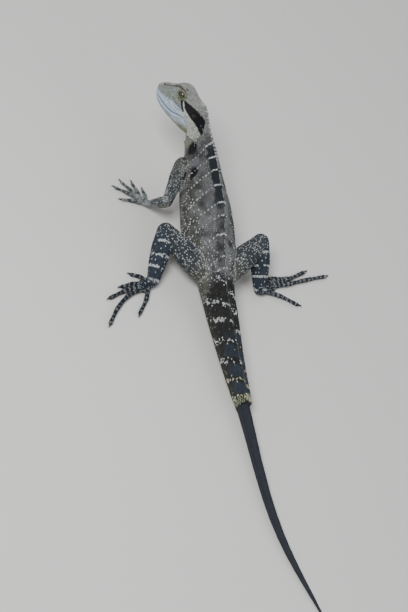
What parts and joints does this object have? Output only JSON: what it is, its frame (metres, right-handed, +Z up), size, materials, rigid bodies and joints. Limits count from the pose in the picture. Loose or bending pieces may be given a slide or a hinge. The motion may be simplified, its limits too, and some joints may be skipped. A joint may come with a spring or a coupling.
{
  "type": "australian water dragon",
  "caption": "Life-size still model of a grey crested lizard at rest, head raised and turned to its left, with a banded tail that ends in a plain regrown length.",
  "frame": {"origin": "on the floor under the hips, where the underside of the pelvis rests", "axes": "+X forward along the body, +Y to the animal's left, +Z up"},
  "size_m": [0.5287, 0.2509, 0.0992],
  "materials": {
    "head_skin": "dry pale grey scales",
    "body_skin": "dry keeled grey scales with white spots",
    "limb_skin": "dry slate scales with white spots and bands",
    "regrown_skin": "plain dark slate scales",
    "eye": "wet gloss"
  },
  "bodies": {
    "root": {"head": "head_skin", "eye_left": "eye", "eye_right": "eye", "neck": "body_skin", "torso": "body_skin", "tail_base": "body_skin", "tail_middle": "body_skin", "tail_regrown_front": "regrown_skin", "tail_regrown_tip": "regrown_skin", "thigh_left": "limb_skin", "shank_left": "limb_skin", "foot_left": "limb_skin", "upper_arm_left": "limb_skin", "forearm_left": "limb_skin", "hand_left": "limb_skin", "thigh_right": "limb_skin", "shank_right": "limb_skin", "foot_right": "limb_skin", "upper_arm_right": "limb_skin", "forearm_right": "limb_skin", "hand_right": "limb_skin"}
  },
  "joints": []
}
